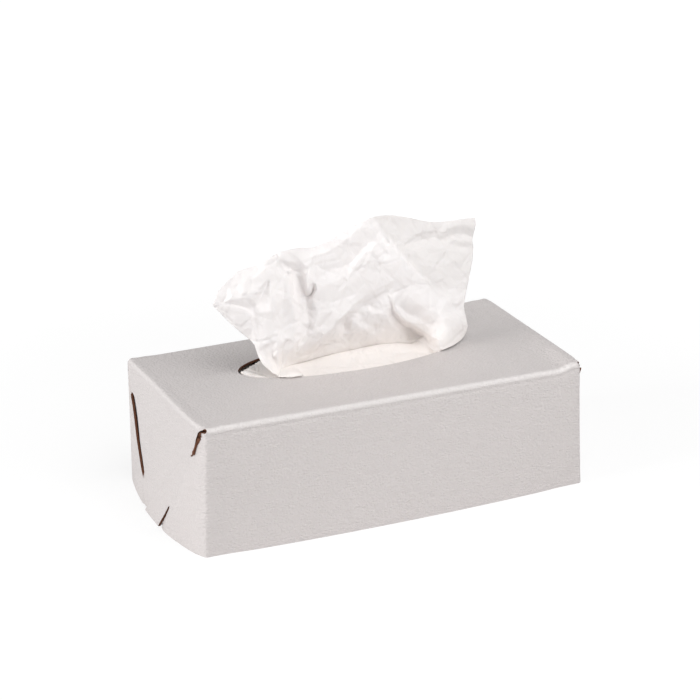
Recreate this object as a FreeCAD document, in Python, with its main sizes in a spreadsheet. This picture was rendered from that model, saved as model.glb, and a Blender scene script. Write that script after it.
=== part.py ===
import FreeCAD, Part
import math
import os

import Sketcher

Vector = FreeCAD.Vector

doc = FreeCAD.newDocument("tissue_box_cover")
sheet = doc.addObject("Spreadsheet::Sheet", "sizes")

# Driving dimensions in millimetres. The cover is one leather sheet folded over a stack of tissues.
# x runs along the cover, y to the back, z up, and z = 0 is what the cover stands on.
SIZES = [
    # the folded leather sheet
    ("cover_length", 250.0),
    ("cover_depth", 130.0),
    ("cover_height", 82.0),
    ("leather", 1.5),
    ("fold_inside", 1.5),
    ("corner_relief", 0.6),
    # the oval opening in the top
    ("opening_length", 154.0),
    ("opening_width", 54.0),
    ("opening_shift", 2.0),
    ("opening_setback", 11.0),
    # the ends: how far they belly out at the foot, and the air between two layers
    ("end_bulge", 8.5),
    ("layer_gap", 0.25),
    # front flap of an end, outermost, with its free slanting edge and the slit it locks in
    ("front_flap_reach", 84.0),
    ("front_flap_bulge", 11.0),
    ("front_flap_crest", 58.0),
    ("front_flap_edge_out", 9.8),
    ("lock_slit_reach", 55.0),
    ("lock_slit_height", 16.5),
    ("lock_slit_slant", 13.0),
    ("lock_slit_width", 2.0),
    # top flap of an end, hooked under the front flap and through the slot of the back flap
    ("mitre_drop", 22.0),
    ("mitre_slit", 2.2),
    ("hook_reach", 9.0),
    ("hook_drop", 3.0),
    ("top_flap_lift", 12.0),
    ("top_flap_tuck", 30.0),
    ("tongue_reach", 4.0),
    # back flap of an end, with its slanting slot
    ("back_flap_reach", 68.0),
    ("back_flap_head", 30.0),
    ("slot_drop", 22.0),
    ("slot_inset", 8.5),
    ("slot_slant", 19.0),
    ("slot_width", 3.2),
    # the stack of tissues inside: its air to the cover's ends, sides and top
    ("stack_end_gap", 17.5),
    ("stack_side_gap", 8.5),
    ("stack_headroom", 4.5),
    ("stack_corner", 3.0),
    # the tissue pulled through the opening, its reaches measured from the middle of the oval
    ("tissue_thickness", 1.2),
    ("tissue_rise", 96.0),
    ("tissue_left", 94.0),
    ("tissue_right", 84.0),
    ("tissue_base_left", 54.0),
    ("tissue_base_right", 60.0),
    ("tissue_swell", 10.0),
    ("tissue_tuck", 6.0),
    ("tissue_clearance", 0.3),
]
for row, (alias, value) in enumerate(SIZES, start=1):
    sheet.set(f"A{row}", alias)
    sheet.set(f"B{row}", str(value))
    sheet.setAlias(f"B{row}", alias)
doc.recompute()


def size(alias):
    return float(sheet.get(alias))


def plane_of(body, role):
    for feature in body.Origin.OriginFeatures:
        if feature.Role == role:
            return feature
    raise RuntimeError("no origin plane " + role)


def bind(sketch, constraint, expression):
    index = sketch.addConstraint(constraint)
    sketch.renameConstraint(index, "size_" + str(index))
    sketch.setExpression("Constraints.size_" + str(index), expression)


# ---------------------------------------------------------------- top, front and back panels
def make_panels():
    """One strip of leather bent twice: front panel, top panel, back panel."""
    body = doc.addObject("PartDesign::Body", "panels")
    sketch = body.newObject("Sketcher::SketchObject", "panel_section")
    sketch.AttachmentSupport = [(plane_of(body, "YZ_Plane"), "")]
    sketch.MapMode = "FlatFace"

    half, top = size("cover_depth") / 2, size("cover_height")
    wall, inner = size("leather"), size("fold_inside")
    outer = inner + wall

    def line(x1, y1, x2, y2):
        return sketch.addGeometry(Part.LineSegment(Vector(x1, y1, 0), Vector(x2, y2, 0)), False)

    def arc(x, y, radius, start, end):
        circle = Part.Circle(Vector(x, y, 0), Vector(0, 0, 1), radius)
        return sketch.addGeometry(
            Part.ArcOfCircle(circle, math.radians(start), math.radians(end)), False)

    front_out = line(-half, 0, -half, top - outer)
    front_fold_out = arc(-half + outer, top - outer, outer, 90, 180)
    top_out = line(-half + outer, top, half - outer, top)
    back_fold_out = arc(half - outer, top - outer, outer, 0, 90)
    back_out = line(half, top - outer, half, 0)
    back_foot = line(half, 0, half - wall, 0)
    back_in = line(half - wall, 0, half - wall, top - outer)
    back_fold_in = arc(half - outer, top - outer, inner, 0, 90)
    top_in = line(half - outer, top - wall, -half + outer, top - wall)
    front_fold_in = arc(-half + outer, top - outer, inner, 90, 180)
    front_in = line(-half + wall, top - outer, -half + wall, 0)
    front_foot = line(-half + wall, 0, -half, 0)

    # ends of lines and arcs: 1 is the start and 2 the end, and arcs run anticlockwise
    for first, first_end, second, second_end in (
            (front_out, 2, front_fold_out, 2), (front_fold_out, 1, top_out, 1),
            (top_out, 2, back_fold_out, 2), (back_fold_out, 1, back_out, 1),
            (back_in, 2, back_fold_in, 1), (back_fold_in, 2, top_in, 1),
            (top_in, 2, front_fold_in, 1), (front_fold_in, 2, front_in, 1)):
        sketch.addConstraint(Sketcher.Constraint("Tangent", first, first_end, second, second_end))
    for first, second in ((back_out, back_foot), (back_foot, back_in),
                          (front_in, front_foot), (front_foot, front_out)):
        sketch.addConstraint(Sketcher.Constraint("Coincident", first, 2, second, 1))
    for upright in (front_out, back_out, back_in, front_in):
        sketch.addConstraint(Sketcher.Constraint("Vertical", upright))
    for level in (top_out, top_in, back_foot, front_foot):
        sketch.addConstraint(Sketcher.Constraint("Horizontal", level))
    sketch.addConstraint(Sketcher.Constraint("Symmetric", front_out, 1, back_out, 2, -2))
    sketch.addConstraint(Sketcher.Constraint("PointOnObject", front_out, 1, -1))
    bind(sketch, Sketcher.Constraint("DistanceX", front_out, 1, back_out, 2, 2 * half),
         "sizes.cover_depth")
    bind(sketch, Sketcher.Constraint("DistanceY", -1, 1, top_out, 1, top), "sizes.cover_height")
    bind(sketch, Sketcher.Constraint("DistanceY", top_in, 1, top_out, 2, wall), "sizes.leather")
    bind(sketch, Sketcher.Constraint("DistanceX", front_out, 1, front_in, 2, wall), "sizes.leather")
    bind(sketch, Sketcher.Constraint("DistanceX", back_in, 1, back_out, 2, wall), "sizes.leather")
    for fold in (front_fold_out, back_fold_out):
        bind(sketch, Sketcher.Constraint("Radius", fold, outer),
             "sizes.fold_inside + sizes.leather")
    for fold in (front_fold_in, back_fold_in):
        bind(sketch, Sketcher.Constraint("Radius", fold, inner), "sizes.fold_inside")

    pad = body.newObject("PartDesign::Pad", "panel_length")
    pad.Profile = sketch
    pad.SideType = "Symmetric"
    pad.setExpression("Length",
                      "sizes.cover_length - 2 * (sizes.fold_inside + sizes.leather)")
    body.Tip = pad
    doc.recompute()
    return body


# ---------------------------------------------------------------- the oval opening
def make_opened_panels(panels):
    """The bent strip with the oval opening cut through its top."""
    oval = doc.addObject("Part::Ellipse", "opening_outline")
    oval.setExpression("MajorRadius", "sizes.opening_length / 2")
    oval.setExpression("MinorRadius", "sizes.opening_width / 2")
    oval.setExpression("Placement.Base.x", "sizes.opening_shift")
    oval.setExpression("Placement.Base.y", "sizes.opening_setback")
    oval.setExpression("Placement.Base.z", "sizes.cover_height - 2 * sizes.leather")

    punch = doc.addObject("Part::Extrusion", "opening_punch")
    punch.Base = oval
    punch.DirMode = "Custom"
    punch.Dir = Vector(0, 0, 1)
    punch.Solid = True
    punch.setExpression("LengthFwd", "3 * sizes.leather")

    opened = doc.addObject("Part::Cut", "opened_panels")
    opened.Base = panels
    opened.Tool = punch
    doc.recompute()
    return opened


# ---------------------------------------------------------------- one end
# The left end is laid out in three numbers: u from the front edge towards the back, v up from the foot,
# and out, how far the leather's outer face stands beyond the end's own plane.
LENGTH, DEPTH, HEIGHT = size("cover_length"), size("cover_depth"), size("cover_height")
WALL, FOLD = size("leather"), size("fold_inside") + size("leather")
LAYER = WALL + size("layer_gap")
HOLE = FOLD + size("corner_relief")
FOLD_TOP = HEIGHT - FOLD
FRONT_START, BACK_START = FOLD, DEPTH - FOLD
UP, INWARD = Vector(0, 0, 1), Vector(1, 0, 0)


def at_end(u, v, out=0.0):
    return Vector(-LENGTH / 2 - out, -DEPTH / 2 + u, v)


def steepness(v):
    """1 at the foot, 0 where the flaps leave the top fold."""
    return 1 - v / FOLD_TOP


def bulge(u, v):
    """How far the end bellies out: nothing at its folds, most at the middle of the foot."""
    across = (u - FRONT_START) / (BACK_START - FRONT_START)
    return size("end_bulge") * 4 * across * (1 - across) * steepness(v) ** 2


def bellied(outline, level, thickness):
    """A piece of leather that follows the end's belly, level layers out from it, cut to an outline."""
    steps = 8
    us = [FRONT_START + (BACK_START - FRONT_START) * i / steps for i in range(steps + 1)]
    vs = [FOLD_TOP * j / steps for j in range(steps + 1)]
    surface = Part.BSplineSurface()
    surface.interpolate([[at_end(u, v, bulge(u, v) + level * LAYER) for v in vs] for u in us])
    slab = surface.toShape().extrude(INWARD * thickness)
    return slab.common(prism(outline))


def prism(outline):
    """Everything near the end that lies inside an outline of (u, v) points."""
    deep = size("end_bulge") + size("front_flap_bulge") + 4 * LAYER
    wire = Part.makePolygon([at_end(u, v, deep) for u, v in outline + outline[:1]])
    return Part.Face(wire).extrude(INWARD * 2 * deep)


def slot_line(v):
    """u of the middle of the back flap's slot: upright above the slot's top, slanting below it."""
    top = HEIGHT - size("slot_drop")
    foot = size("top_flap_lift")
    fall = max(0.0, top - v) / (top - foot)
    return DEPTH - size("slot_inset") - size("slot_slant") * fall


def beside_slot(low, high, before, behind):
    """Outline of a band along the slot's line, from before to behind it."""
    bend = HEIGHT - size("slot_drop")
    heights = [low] + ([bend] if low < bend < high else []) + [high]
    front = [(slot_line(v) + before, v) for v in heights]
    back = [(slot_line(v) + behind, v) for v in reversed(heights)]
    return front + back


def quarter_turn(centre, first, second, sweep):
    """Leather bent a quarter turn about centre, from the direction first to second, along sweep."""
    middle = (first + second).normalize()
    inner = size("fold_inside")
    outside = Part.Arc(centre + first * FOLD, centre + middle * FOLD, centre + second * FOLD)
    inside = Part.Arc(centre + second * inner, centre + middle * inner, centre + first * inner)
    wire = Part.Wire([
        outside.toShape(),
        Part.LineSegment(centre + second * FOLD, centre + second * inner).toShape(),
        inside.toShape(),
        Part.LineSegment(centre + first * inner, centre + first * FOLD).toShape(),
    ])
    return Part.Face(wire).extrude(sweep)


def front_flap():
    """The outermost flap, a cone from the top corner: its slanting edge is free down to the foot."""
    reach = size("front_flap_reach") - FRONT_START
    crest = size("front_flap_crest") - FRONT_START

    def section(v):
        scale = steepness(v)
        root = at_end(FRONT_START, v)
        ridge = at_end(FRONT_START + crest * scale, v, size("front_flap_bulge") * scale)
        edge = at_end(FRONT_START + reach * scale, v, size("front_flap_edge_out") * scale)
        inward = INWARD * WALL
        return Part.Wire([
            Part.Arc(root, ridge, edge).toShape(),
            Part.LineSegment(edge, edge + inward).toShape(),
            Part.Arc(edge + inward, ridge + inward, root + inward).toShape(),
            Part.LineSegment(root + inward, root).toShape(),
        ])

    flap = Part.makeLoft([section(0), section(FOLD_TOP - HOLE)], True, True)
    foot, slant = size("lock_slit_reach"), size("lock_slit_slant")
    half, top = size("lock_slit_width") / 2, size("lock_slit_height")
    below = foot + slant / top * WALL
    slit = prism([(below - half, -WALL), (below + half, -WALL),
                  (foot - slant + half, top), (foot - slant - half, top)])
    return flap.cut(slit)


def front_flap_edge(v):
    """u of the front flap's free edge."""
    return FRONT_START + (size("front_flap_reach") - FRONT_START) * steepness(v)


def top_flap():
    """Hangs from the top fold, hooks under the front flap and passes its tongue through the slot."""
    hook = HEIGHT - size("mitre_drop")
    bend = HEIGHT - size("slot_drop")
    foot = size("top_flap_lift")
    slit = size("mitre_slit") * math.sqrt(2)
    clear = size("slot_width") / 2
    corner = (front_flap_edge(hook) + slit, hook)
    tip = (corner[0] - size("hook_reach"), hook - size("hook_drop"))
    panel = [(FRONT_START + slit, FOLD_TOP), corner, tip, (size("top_flap_tuck"), foot),
             (slot_line(foot), foot), (slot_line(bend), bend),
             (slot_line(bend) - clear, bend), (slot_line(bend) - clear, FOLD_TOP)]
    step = beside_slot(foot, bend, -WALL / 2, WALL / 2)
    tongue = beside_slot(foot, bend, -WALL / 2, size("tongue_reach"))
    return [bellied(panel, 0, WALL), bellied(step, 0, WALL + LAYER), bellied(tongue, -1, WALL)]


def back_flap():
    """Lies under the other two, apart from the strip behind its slot, which is outermost."""
    bend = HEIGHT - size("slot_drop")
    foot = size("top_flap_lift")
    head = FOLD_TOP - size("layer_gap")
    strip = [(slot_line(0), 0), (BACK_START, 0), (BACK_START, head), (slot_line(head), head),
             (slot_line(bend), bend)]
    front_foot = DEPTH - size("back_flap_reach")
    main = [(front_foot, 0), (slot_line(0), 0), (slot_line(bend), bend), (slot_line(head), head),
            (BACK_START - size("back_flap_head"), head)]
    low_step = beside_slot(0, foot, -WALL / 2, WALL / 2)
    high_step = beside_slot(bend, head, -WALL / 2, WALL / 2)
    pieces = [bellied(strip, 0, WALL), bellied(main, -1, WALL),
              bellied(low_step, 0, WALL + LAYER), bellied(high_step, 0, WALL + LAYER)]
    flap = pieces[0].fuse(pieces[1:])
    half = size("slot_width") / 2
    return flap.cut(prism(beside_slot(foot, bend, -half, half)))


def left_end():
    along, across = Vector(0, BACK_START - FRONT_START, 0), UP * FOLD_TOP
    left, front, back = Vector(-1, 0, 0), Vector(0, -1, 0), Vector(0, 1, 0)
    front_foot = at_end(FRONT_START, 0) + INWARD * FOLD
    back_foot = at_end(BACK_START, 0) + INWARD * FOLD
    folds = [quarter_turn(front_foot + UP * FOLD_TOP, left, UP, along),
             quarter_turn(front_foot, front, left, across),
             quarter_turn(back_foot, left, back, across)]
    pieces = folds + [front_flap(), back_flap()] + top_flap()
    end = pieces[0].fuse(pieces[1:])
    # the round relief holes, each sphere's poles kept off the leather
    for u, outward in ((FRONT_START, Vector(-1, -1, 1)), (BACK_START, Vector(-1, 1, 1))):
        centre = at_end(u, FOLD_TOP) + INWARD * FOLD
        end = end.cut(Part.makeSphere(HOLE, centre, outward))
    return end


def make_ends():
    """Both ends: the right one mirrors the left."""
    left = doc.addObject("Part::Feature", "left_end")
    left.Shape = left_end()
    right = doc.addObject("Part::Feature", "right_end")
    right.Shape = left.Shape.mirror(Vector(0, 0, 0), INWARD)
    return [left, right]


def make_cover():
    """The whole sheet of leather in one piece."""
    panels = make_panels()
    opened = make_opened_panels(panels)
    cover = doc.addObject("Part::MultiFuse", "cover")
    cover.Shapes = [opened] + make_ends()
    cover.Label = "cover"
    cover.Placement = FreeCAD.Placement()
    doc.recompute()
    if opened.Shape.Volume >= panels.Shape.Volume:
        raise RuntimeError("the opening cut nothing")
    return cover


# ---------------------------------------------------------------- the stack of tissues
def make_stack():
    body = doc.addObject("PartDesign::Body", "tissue_stack")
    body.Label = "tissue_stack"
    sketch = body.newObject("Sketcher::SketchObject", "stack_outline")
    sketch.AttachmentSupport = [(plane_of(body, "XY_Plane"), "")]
    sketch.MapMode = "FlatFace"
    long = LENGTH / 2 - WALL - size("stack_end_gap")
    deep = DEPTH / 2 - WALL - size("stack_side_gap")
    corners = [(-long, -deep), (long, -deep), (long, deep), (-long, deep)]
    for start, end in zip(corners, corners[1:] + corners[:1]):
        sketch.addGeometry(Part.LineSegment(Vector(*start, 0), Vector(*end, 0)), False)
    for side in range(4):
        sketch.addConstraint(Sketcher.Constraint("Coincident", side, 2, (side + 1) % 4, 1))
        direction = "Horizontal" if side % 2 == 0 else "Vertical"
        sketch.addConstraint(Sketcher.Constraint(direction, side))
    sketch.addConstraint(Sketcher.Constraint("Symmetric", 0, 1, 2, 1, -1, 1))
    bind(sketch, Sketcher.Constraint("DistanceX", 0, 1, 0, 2, 2 * long),
         "sizes.cover_length - 2 * (sizes.leather + sizes.stack_end_gap)")
    bind(sketch, Sketcher.Constraint("DistanceY", 1, 1, 1, 2, 2 * deep),
         "sizes.cover_depth - 2 * (sizes.leather + sizes.stack_side_gap)")

    pad = body.newObject("PartDesign::Pad", "stack_pad")
    pad.Profile = sketch
    pad.setExpression("Length", "sizes.cover_height - sizes.leather - sizes.stack_headroom")
    doc.recompute()
    fillet = body.newObject("PartDesign::Fillet", "stack_corners")
    upright = [f"Edge{i + 1}" for i, edge in enumerate(pad.Shape.Edges)
               if abs(edge.tangentAt(edge.FirstParameter).z) > 0.99]
    fillet.Base = (pad, upright)
    fillet.setExpression("Radius", "sizes.stack_corner")
    body.Tip = fillet
    doc.recompute()
    return body


# ---------------------------------------------------------------- the pulled tissue
def make_pulled_tissue():
    """One tissue standing up out of the opening, its lower part lying on the stack as an apron."""
    seat = HEIGHT - WALL - size("stack_headroom") + size("tissue_clearance")
    rise, thin = size("tissue_rise"), size("tissue_thickness")
    left, right = size("tissue_left"), size("tissue_right")
    base_left, base_right = size("tissue_base_left"), size("tissue_base_right")
    centre, back = size("opening_shift"), size("opening_setback")
    swell = size("tissue_swell")

    # outline seen from the front: x from the oval's middle, and the height as a share of the rise
    outline = [(-base_left, 0), (-base_left, 0.08), (-0.72 * left, 0.32), (-left, 0.58),
               (-0.83 * left, 0.77), (-0.52 * left, 0.88), (-0.27 * left, 0.87), (0, 0.95),
               (0.22 * right, 1), (0.65 * right, 0.94), (right, 0.95), (0.99 * right, 0.62),
               (0.93 * right, 0.3), (base_right + 0.5 * (right - base_right), 0.12),
               (base_right, 0)]
    points = [Vector(centre + x, -DEPTH, seat + rise * share) for x, share in outline]
    cutter = Part.Face(Part.makePolygon(points + points[:1])).extrude(Vector(0, 2 * DEPTH, 0))

    # the broad folds: how many swells the sheet stands forward of the oval's middle line, at each
    # place across it, in rows by their share of the rise
    across = [-left, -0.7 * left, -0.5 * left, -0.33 * left, -0.05 * left,
              0.25 * right, 0.5 * right, 0.73 * right, right]
    folds = {
        0: (1.1, 1.3, 1.5, -0.2, -0.25, -0.25, -0.2, 1.1, 1.1),
        0.15: (0.9, 1.1, 1.05, 0.1, -0.35, -0.4, -0.3, 0.9, 0.9),
        0.35: (0.3, 0.7, 0.9, 0.3, 0.3, 0.1, 0.5, 0.8, 0.4),
        0.56: (0.2, 0.7, 0.7, 0, 0.4, 0.4, 0.6, 0.35, -0.1),
        0.77: (0.2, 0.25, 0.4, 0, 0.2, 0.5, 0.05, 0, -0.3),
        1: (0.2, 0.2, 0.3, 0.2, 0.15, 0.3, -0.15, -0.15, -0.3),
    }

    def eased(stops, values, place):
        """The value at a place among stops, eased from one to the next so that it never overshoots."""
        i = sum(stop <= place for stop in stops[1:-1])
        t = (place - stops[i]) / (stops[i + 1] - stops[i])
        return values[i] + (values[i + 1] - values[i]) * t * t * (3 - 2 * t)

    def fold_line(x, share):
        upwards = [eased(across, row, x) for row in folds.values()]
        return back - swell * eased(list(folds), upwards, share)

    columns, rows = 24, 10
    surface = Part.BSplineSurface()
    surface.interpolate([
        [Vector(centre + x, fold_line(x, share), seat + rise * share)
         for share in (j / rows for j in range(rows + 1))]
        for x in (-left + (left + right) * i / columns for i in range(columns + 1))])
    upright = surface.toShape().extrude(Vector(0, thin, 0)).common(cutter)

    # the apron slopes up from the stack to the underside of the top, and ends under the front rim
    under_top = HEIGHT - WALL - size("tissue_clearance") - thin
    rim = back - size("opening_width") / 2
    tucked = rim - size("tissue_tuck")
    foot = back + 0.25 * swell + thin
    slope = [(foot, seat), (rim, under_top), (tucked, under_top),
             (tucked, under_top + thin), (rim, under_top + thin), (foot, seat + thin)]
    profile = [Vector(centre - left, y, z) for y, z in slope]
    strip = Part.Face(Part.makePolygon(profile + profile[:1])).extrude(Vector(left + right, 0, 0))
    middle = centre + (base_right - base_left) / 2
    oval = Part.Ellipse(Vector(middle, back, 0), (base_left + base_right) / 2, back - tucked)
    apron = strip.common(Part.Face(Part.Wire(oval.toShape())).extrude(UP * HEIGHT))
    tissue = doc.addObject("Part::Feature", "pulled_tissue")
    tissue.Shape = upright.fuse(apron)
    tissue.Label = "pulled_tissue"
    tissue.Placement = FreeCAD.Placement()
    return tissue


nodes = [make_cover(), make_stack(), make_pulled_tissue()]
doc.recompute()
for item in doc.Objects:
    if "Invalid" in item.State or "Error" in item.State:
        raise RuntimeError(item.Name + " did not rebuild: " + str(item.State))
for node in nodes:
    if node.Shape.isNull() or not node.Shape.isValid() or len(node.Shape.Solids) != 1:
        raise RuntimeError(node.Label + " is not one sound solid")

os.makedirs("parts", exist_ok=True)
for node in nodes:
    node.Shape.exportStep(f"parts/{node.Label}.step")
    box = node.Shape.BoundBox
    print(f"{node.Label}: {node.Shape.Volume / 1000:.1f} cm3, {box.XLength:.1f} x "
          f"{box.YLength:.1f} x {box.ZLength:.1f} mm")
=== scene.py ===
import math

import bpy
import numpy as np
from mathutils import Matrix, Vector, geometry, noise


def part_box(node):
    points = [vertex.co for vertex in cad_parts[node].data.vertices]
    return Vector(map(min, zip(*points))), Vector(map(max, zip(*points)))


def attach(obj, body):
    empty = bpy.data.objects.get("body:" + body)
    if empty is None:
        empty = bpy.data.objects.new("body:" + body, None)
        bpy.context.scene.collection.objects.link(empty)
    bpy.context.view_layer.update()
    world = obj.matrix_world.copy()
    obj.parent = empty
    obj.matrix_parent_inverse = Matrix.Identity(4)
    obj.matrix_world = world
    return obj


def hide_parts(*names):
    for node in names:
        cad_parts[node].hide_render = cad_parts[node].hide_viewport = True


# a folded leather cover over a flat pack of tissues, with one tissue pulled half out

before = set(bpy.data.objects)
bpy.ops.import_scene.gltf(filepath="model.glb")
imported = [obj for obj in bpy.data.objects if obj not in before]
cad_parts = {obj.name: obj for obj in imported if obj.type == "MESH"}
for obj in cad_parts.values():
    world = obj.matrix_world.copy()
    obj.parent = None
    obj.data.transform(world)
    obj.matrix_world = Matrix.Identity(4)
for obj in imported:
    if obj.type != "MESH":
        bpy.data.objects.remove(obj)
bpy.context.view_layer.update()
mm = 0.001  # pieces are laid out in millimetres
mergeWithin = 0.00002  # points nearer than this are one


# small helpers

def ease(t):  # 0 below 0, 1 above 1, smooth between
    t = min(1.0, max(0.0, t))
    return t * t * (3 - 2 * t)


def easeAll(t):  # the same for an array
    t = np.clip(t, 0, 1)
    return t * t * (3 - 2 * t)


def hump(distance, width):  # 1 at a place, fading out on both sides of it
    return math.exp(-(distance / width) ** 2)


def mix(low, high, t):
    return low + (high - low) * t


def along(stops, t):  # a smooth line through (place, value) stops
    last = len(stops) - 1
    if t <= stops[0][0]:
        return stops[0][1]
    if t >= stops[last][0]:
        return stops[last][1]
    k = max(i for i in range(last) if stops[i][0] <= t)

    def slope(i):
        low, high = stops[max(i - 1, 0)], stops[min(i + 1, last)]
        return (high[1] - low[1]) / (high[0] - low[0])

    (start, first), (end, second) = stops[k], stops[k + 1]
    h = end - start
    q = (t - start) / h
    return (first * (1 + 2 * q) * (1 - q) ** 2 + second * q * q * (3 - 2 * q)
            + slope(k) * h * q * (1 - q) ** 2 - slope(k + 1) * h * q * q * (1 - q))


def select(*pieces):
    bpy.ops.object.select_all(action="DESELECT")
    for piece in pieces:
        piece.select_set(True)
    bpy.context.view_layer.objects.active = pieces[0]


def laySheet(name, wide, tall, place):  # a flat grid whose points are then bent into place
    bpy.ops.object.select_all(action="DESELECT")
    bpy.ops.mesh.primitive_grid_add(x_subdivisions=wide, y_subdivisions=tall, size=1)
    piece = bpy.context.object
    piece.name = name
    for point in piece.data.vertices:
        a = round((point.co.x + 0.5) * wide) / wide
        b = round((point.co.y + 0.5) * tall) / tall
        point.co = Vector(place(a, b)) * mm
    return piece


def applyModifiers(piece):
    select(piece)
    for modifier in list(piece.modifiers):
        bpy.ops.object.modifier_apply(modifier=modifier.name)


def closeSeams(piece):  # merges doubled points and turns every face outwards
    select(piece)
    bpy.ops.object.mode_set(mode="EDIT")
    bpy.ops.mesh.select_all(action="SELECT")
    bpy.ops.mesh.remove_doubles(threshold=mergeWithin)
    bpy.ops.mesh.dissolve_degenerate(threshold=mergeWithin)
    bpy.ops.mesh.normals_make_consistent(inside=False)
    bpy.ops.object.mode_set(mode="OBJECT")


def smoothBelow(piece, degrees):
    select(piece)
    bpy.ops.object.shade_smooth_by_angle(angle=math.radians(degrees))


# camera

view = {
    "place": (-0.6379, -1.4358, 0.6982),
    "right": (0.9124, -0.4092, -0.0120),  # the camera's own directions in the scene
    "down": (-0.1581, -0.3252, -0.9323),
    "lens": 138.65,
    "sensor": 36,
}
bpy.ops.object.camera_add()
camera = bpy.context.object
camera.name = "camera"
right, down = Vector(view["right"]), Vector(view["down"])
turned = Matrix((right, -down, right.cross(-down))).transposed()
camera.matrix_world = Matrix.Translation(view["place"]) @ turned.to_4x4()
camera.data.lens = view["lens"]
camera.data.sensor_width = view["sensor"]
bpy.context.scene.camera = camera
print("camera in place")


# materials

class Wire:  # a socket that takes part in sums
    def __init__(self, board, socket):
        self.board, self.socket = board, socket

    def maths(self, operation, first, second):
        return self.board.node("ShaderNodeMath", {"operation": operation}, {0: first, 1: second})

    def __add__(self, other):
        return self.maths("ADD", self, other)

    def __radd__(self, other):
        return self.maths("ADD", other, self)

    def __sub__(self, other):
        return self.maths("SUBTRACT", self, other)

    def __rsub__(self, other):
        return self.maths("SUBTRACT", other, self)

    def __mul__(self, other):
        return self.maths("MULTIPLY", self, other)

    def __rmul__(self, other):
        return self.maths("MULTIPLY", other, self)


class Finish:  # one material and its nodes
    def __init__(self, name):
        self.material = bpy.data.materials.new(name)
        self.material.use_nodes = True
        self.tree = self.material.node_tree
        self.shader = self.tree.nodes["Principled BSDF"]
        self.output = self.tree.nodes["Material Output"]
        self.place = self.node("ShaderNodeTexCoord", {}, {}, "Object")

    def node(self, kind, settings, sockets, output=0):
        made = self.tree.nodes.new(kind)
        for key, value in settings.items():
            setattr(made, key, value)
        for key, value in sockets.items():
            self.feed(made.inputs[key], value)
        return Wire(self, made.outputs[output])

    def feed(self, socket, value):
        if isinstance(value, Wire):
            self.tree.links.new(value.socket, socket)
        elif hasattr(value, "__len__") and len(value) == 3 and socket.type == "RGBA":
            socket.default_value = (*value, 1)
        else:
            socket.default_value = value

    def set(self, **values):  # the shader's own sockets, as in Base_Color=...
        for key, value in values.items():
            self.feed(self.shader.inputs[key.replace("_", " ")], value)

    def noise(self, scale, detail, roughness=0.5, output="Fac"):
        return self.node("ShaderNodeTexNoise", {}, {
            "Vector": self.place, "Scale": scale, "Detail": detail, "Roughness": roughness}, output)

    def blend(self, factor, first, second, how="MIX"):  # 6, 7 and 2 are the node's colour sockets
        return self.node("ShaderNodeMix", {"data_type": "RGBA", "blend_type": how},
                         {"Factor": factor, 6: first, 7: second}, 2)

    def warped(self, scale, detail, amount):  # the place on the piece, shaken a little
        return self.blend(amount, self.place, self.noise(scale, detail, output="Color"), "ADD")

    def spread(self, value, low, high, first=0.0, last=1.0, how="LINEAR"):
        return self.node("ShaderNodeMapRange", {"interpolation_type": how}, {
            "Value": value, "From Min": low, "From Max": high, "To Min": first, "To Max": last})

    def bump(self, height, distance):
        self.set(Normal=self.node("ShaderNodeBump", {}, {"Height": height, "Distance": distance},
                                  "Normal"))


leatherLook = {
    "pale": (0.60, 0.563, 0.555),
    "deep": (0.565, 0.526, 0.517),
    "paintedHighlight": (0.70, 0.665, 0.655),  # painted highlight along the folds
    "pebbles": 780,  # how many per metre, as the next four are
    "fine": 1900,
    "warp": 260,
    "patches": 170,
    "broad": 28,
    "squash": (0.75, 0.75, 1.15),  # the pebbles lie a little flat
    "relief": 0.00055,
    "gloss": 0.29,
}


def leatherFinish():
    finish = Finish("paleLeather")
    warped = finish.warped(leatherLook["warp"], 2.0, 0.0012)
    squashed = finish.node("ShaderNodeVectorMath", {"operation": "MULTIPLY"},
                           {0: warped, 1: leatherLook["squash"]}, "Vector")
    cells = finish.node("ShaderNodeTexVoronoi", {"feature": "SMOOTH_F1"}, {
        "Vector": squashed, "Scale": leatherLook["pebbles"], "Smoothness": 0.35}, "Distance")
    fine = finish.noise(leatherLook["fine"], 3.0, 0.6)
    broad = finish.noise(leatherLook["broad"], 3.0, 0.55)
    patches = finish.noise(leatherLook["patches"], 3.0, 0.6)
    shade = 0.35 * broad + 0.25 * patches + 0.4 * cells
    grain = finish.blend(shade, leatherLook["pale"], leatherLook["deep"])
    # painted highlight along the folds, from the mark laid on their rows
    paintedHighlight = finish.node("ShaderNodeAttribute", {"attribute_name": "paintedHighlight"}, {}, "Fac")
    finish.set(
        Base_Color=finish.blend(paintedHighlight, grain, leatherLook["paintedHighlight"]),
        Roughness=leatherLook["gloss"] + 0.10 * patches + 0.06 * cells,
        Specular_IOR_Level=0.45)
    finish.bump((1 - cells) * 0.8 + 0.35 * fine, leatherLook["relief"])
    return finish.material


cutLook = {"light": (0.21, 0.088, 0.05), "dark": (0.06, 0.026, 0.015), "fibres": 900, "relief": 0.0002}


def cutFinish():
    finish = Finish("brownCutLeather")
    fibres = finish.noise(cutLook["fibres"], 4.0, 0.7)
    finish.set(Base_Color=finish.blend(fibres, cutLook["light"], cutLook["dark"]),
               Roughness=0.85 + 0.1 * fibres, Specular_IOR_Level=0.2)
    finish.bump(fibres, cutLook["relief"])
    return finish.material


tissueLook = {
    "face": (0.90, 0.866, 0.858),
    "shade": (0.88, 0.843, 0.833),
    "foot": (0.90, 0.848, 0.812),    # warmer light comes up from the opening
    "footTop": 0.105,
    "paintedShade": (0.79, 0.755, 0.74),   # painted shade on the upper right, where the sheet lies double
    "paintedShadeFrom": (0.030, 0.155),    # x and z of the painted shade's slanting edge, and the way it faces
    "paintedShadeTo": (0.804, 0.595),
    "crepe": 1300,
    "creases": ((48, 0.10), (110, 0.16), (40, 0.07)),  # how many per metre, and how wide
    "relief": 0.0004,
}


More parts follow.
